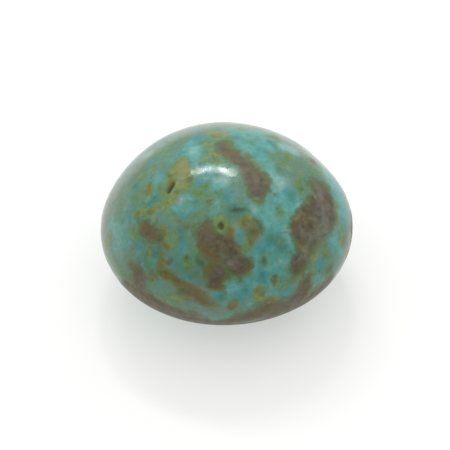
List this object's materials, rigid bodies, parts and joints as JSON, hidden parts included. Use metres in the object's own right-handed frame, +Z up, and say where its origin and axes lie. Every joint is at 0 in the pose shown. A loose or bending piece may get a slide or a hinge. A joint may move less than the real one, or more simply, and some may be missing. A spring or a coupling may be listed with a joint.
{
  "type": "polished turquoise nugget",
  "caption": "Rounded turquoise nugget with brown matrix, ground and polished all over, lying on a small worn flat.",
  "frame": {"origin": "on the surface the stone lies on, under the middle of its outline", "axes": "+X along the longest way, +Z up through the thinnest way, -Y towards the side that is seen"},
  "size_m": [0.03, 0.0268, 0.019],
  "materials": {
    "polished_turquoise": "polished blue-green turquoise with brown and olive matrix"
  },
  "bodies": {
    "root": {"turquoise_nugget": "polished_turquoise"}
  },
  "joints": []
}
